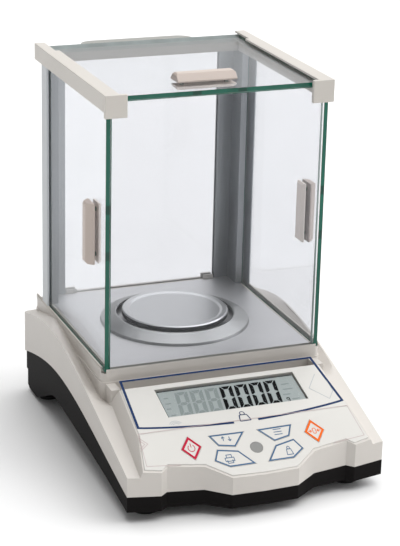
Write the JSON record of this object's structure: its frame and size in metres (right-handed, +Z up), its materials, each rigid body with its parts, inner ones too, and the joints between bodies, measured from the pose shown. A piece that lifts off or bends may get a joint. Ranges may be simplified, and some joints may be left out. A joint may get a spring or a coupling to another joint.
{
  "type": "analytical balance",
  "caption": "Laboratory analytical balance with a round pan in a square glass draft shield, sliding side and top panes, and a sloped console with display and press keys.",
  "frame": {"origin": "middle of the footprint, on the table under the feet", "axes": "+Z up, front (console) faces -Y, +X to the right seen from the front"},
  "size_m": [0.214, 0.318, 0.3143],
  "materials": {
    "black_tray": "fine grain",
    "cream_housing": "fine satin grain",
    "overlay_film": "satin printed film",
    "clear_window": "clear",
    "lcd_panel": "grey display",
    "vial_plastic": "smooth",
    "bubble": "clear",
    "circuit_board": "solder mask",
    "cell_metal": "machined",
    "turned_steel": "turned",
    "brushed_pan": "spun brushed",
    "brushed_plate": "straight brushed",
    "glass_pane": "clear, polished edges",
    "cream_handle": "satin",
    "grey_beige_bar": "satin paint",
    "screw_steel": "zinc plated",
    "foot_rubber": "matt",
    "jack_black": "satin",
    "port_metal": "plated",
    "key_film": "satin printed film",
    "track_grey": "anodised",
    "cream_rail": "fine satin grain",
    "anodised_column": "satin anodised"
  },
  "bodies": {
    "base": {"base_tray": "black_tray", "column_guide_left": "anodised_column", "column_guide_right": "anodised_column", "column_left": "anodised_column", "column_right": "anodised_column", "column_screws": "screw_steel", "control_overlay": "overlay_film", "crossbar": "grey_beige_bar", "crossbar_screws": "screw_steel", "door_track_left": "track_grey", "door_track_right": "track_grey", "floor_plate": "brushed_plate", "front_glass": "glass_pane", "housing_screws": "screw_steel", "keypad_board": "circuit_board", "lcd_module": "lcd_panel", "lcd_window": "clear_window", "level_bubble": "bubble", "level_vial": "vial_plastic", "load_cell": "cell_metal", "load_cell_bracket": "cell_metal", "main_board": "circuit_board", "power_jack": "jack_black", "rail_cap_left": "cream_rail", "rail_cap_right": "cream_rail", "rear_glass": "glass_pane", "rear_glass_stops": "cream_housing", "rear_pads": "foot_rubber", "serial_port": "port_metal", "top_housing": "cream_housing", "top_rail_left": "cream_rail", "top_rail_right": "cream_rail"},
    "key_cal_body": {"key_cal": "key_film"},
    "key_menu_body": {"key_menu": "key_film"},
    "key_power_body": {"key_power": "key_film"},
    "key_print_body": {"key_print": "key_film"},
    "key_tare_body": {"key_tare": "key_film"},
    "key_unit_body": {"key_unit": "key_film"},
    "left_door": {"side_door_left": "glass_pane", "side_handle_outer_left": "cream_handle", "side_handle_inner_left": "cream_handle", "side_handle_pins_left": "screw_steel"},
    "left_foot": {"levelling_foot_left": "foot_rubber"},
    "right_door": {"side_door_right": "glass_pane", "side_handle_outer_right": "cream_handle", "side_handle_inner_right": "cream_handle", "side_handle_pins_right": "screw_steel"},
    "right_foot": {"levelling_foot_right": "foot_rubber"},
    "top_door_body": {"top_door": "glass_pane", "top_handle_outer": "cream_handle", "top_handle_inner": "cream_handle", "top_handle_pins": "screw_steel"},
    "pan_carrier": {"pan_support": "turned_steel"},
    "pan": {"weighing_pan": "brushed_pan"},
    "ring": {"draft_ring": "brushed_pan"}
  },
  "joints": [
    {"name": "key_cal_press", "type": "slide", "parent": "base", "child": "key_cal_body", "axis": [0, 0.5081, -0.8613], "range_m": [0, 0.0005], "stiffness_N_per_m": 2500},
    {"name": "key_menu_press", "type": "slide", "parent": "base", "child": "key_menu_body", "axis": [0, 0.5081, -0.8613], "range_m": [0, 0.0005], "stiffness_N_per_m": 2500},
    {"name": "key_power_press", "type": "slide", "parent": "base", "child": "key_power_body", "axis": [0, 0.5081, -0.8613], "range_m": [0, 0.0005], "stiffness_N_per_m": 2500},
    {"name": "key_print_press", "type": "slide", "parent": "base", "child": "key_print_body", "axis": [0, 0.5081, -0.8613], "range_m": [0, 0.0005], "stiffness_N_per_m": 2500},
    {"name": "key_tare_press", "type": "slide", "parent": "base", "child": "key_tare_body", "axis": [0, 0.5081, -0.8613], "range_m": [0, 0.0005], "stiffness_N_per_m": 2500},
    {"name": "key_unit_press", "type": "slide", "parent": "base", "child": "key_unit_body", "axis": [0, 0.5081, -0.8613], "range_m": [0, 0.0005], "stiffness_N_per_m": 2500},
    {"name": "left_door_slide", "type": "slide", "parent": "base", "child": "left_door", "axis": [0, 1, 0], "range_m": [0, 0.103]},
    {"name": "right_door_slide", "type": "slide", "parent": "base", "child": "right_door", "axis": [0, 1, 0], "range_m": [0, 0.103]},
    {"name": "top_door_slide", "type": "slide", "parent": "base", "child": "top_door_body", "axis": [0, 1, 0], "range_m": [0, 0.12]},
    {"name": "pan_load", "type": "slide", "parent": "base", "child": "pan_carrier", "axis": [0, 0, -1], "range_m": [0, 0.0003], "stiffness_N_per_m": 40000},
    {"name": "pan_lift", "type": "slide", "parent": "pan_carrier", "child": "pan", "axis": [0, 0, 1], "range_m": [0, 0.04]},
    {"name": "ring_lift", "type": "slide", "parent": "base", "child": "ring", "axis": [0, 0, 1], "range_m": [0, 0.05]},
    {"name": "left_foot_turn", "type": "hinge", "parent": "base", "child": "left_foot", "pos_m": [-0.085, -0.121, 0], "axis": [0, 0, 1], "range_deg": [-360, 360]},
    {"name": "right_foot_turn", "type": "hinge", "parent": "base", "child": "right_foot", "pos_m": [0.085, -0.121, 0], "axis": [0, 0, 1], "range_deg": [-360, 360]}
  ]
}
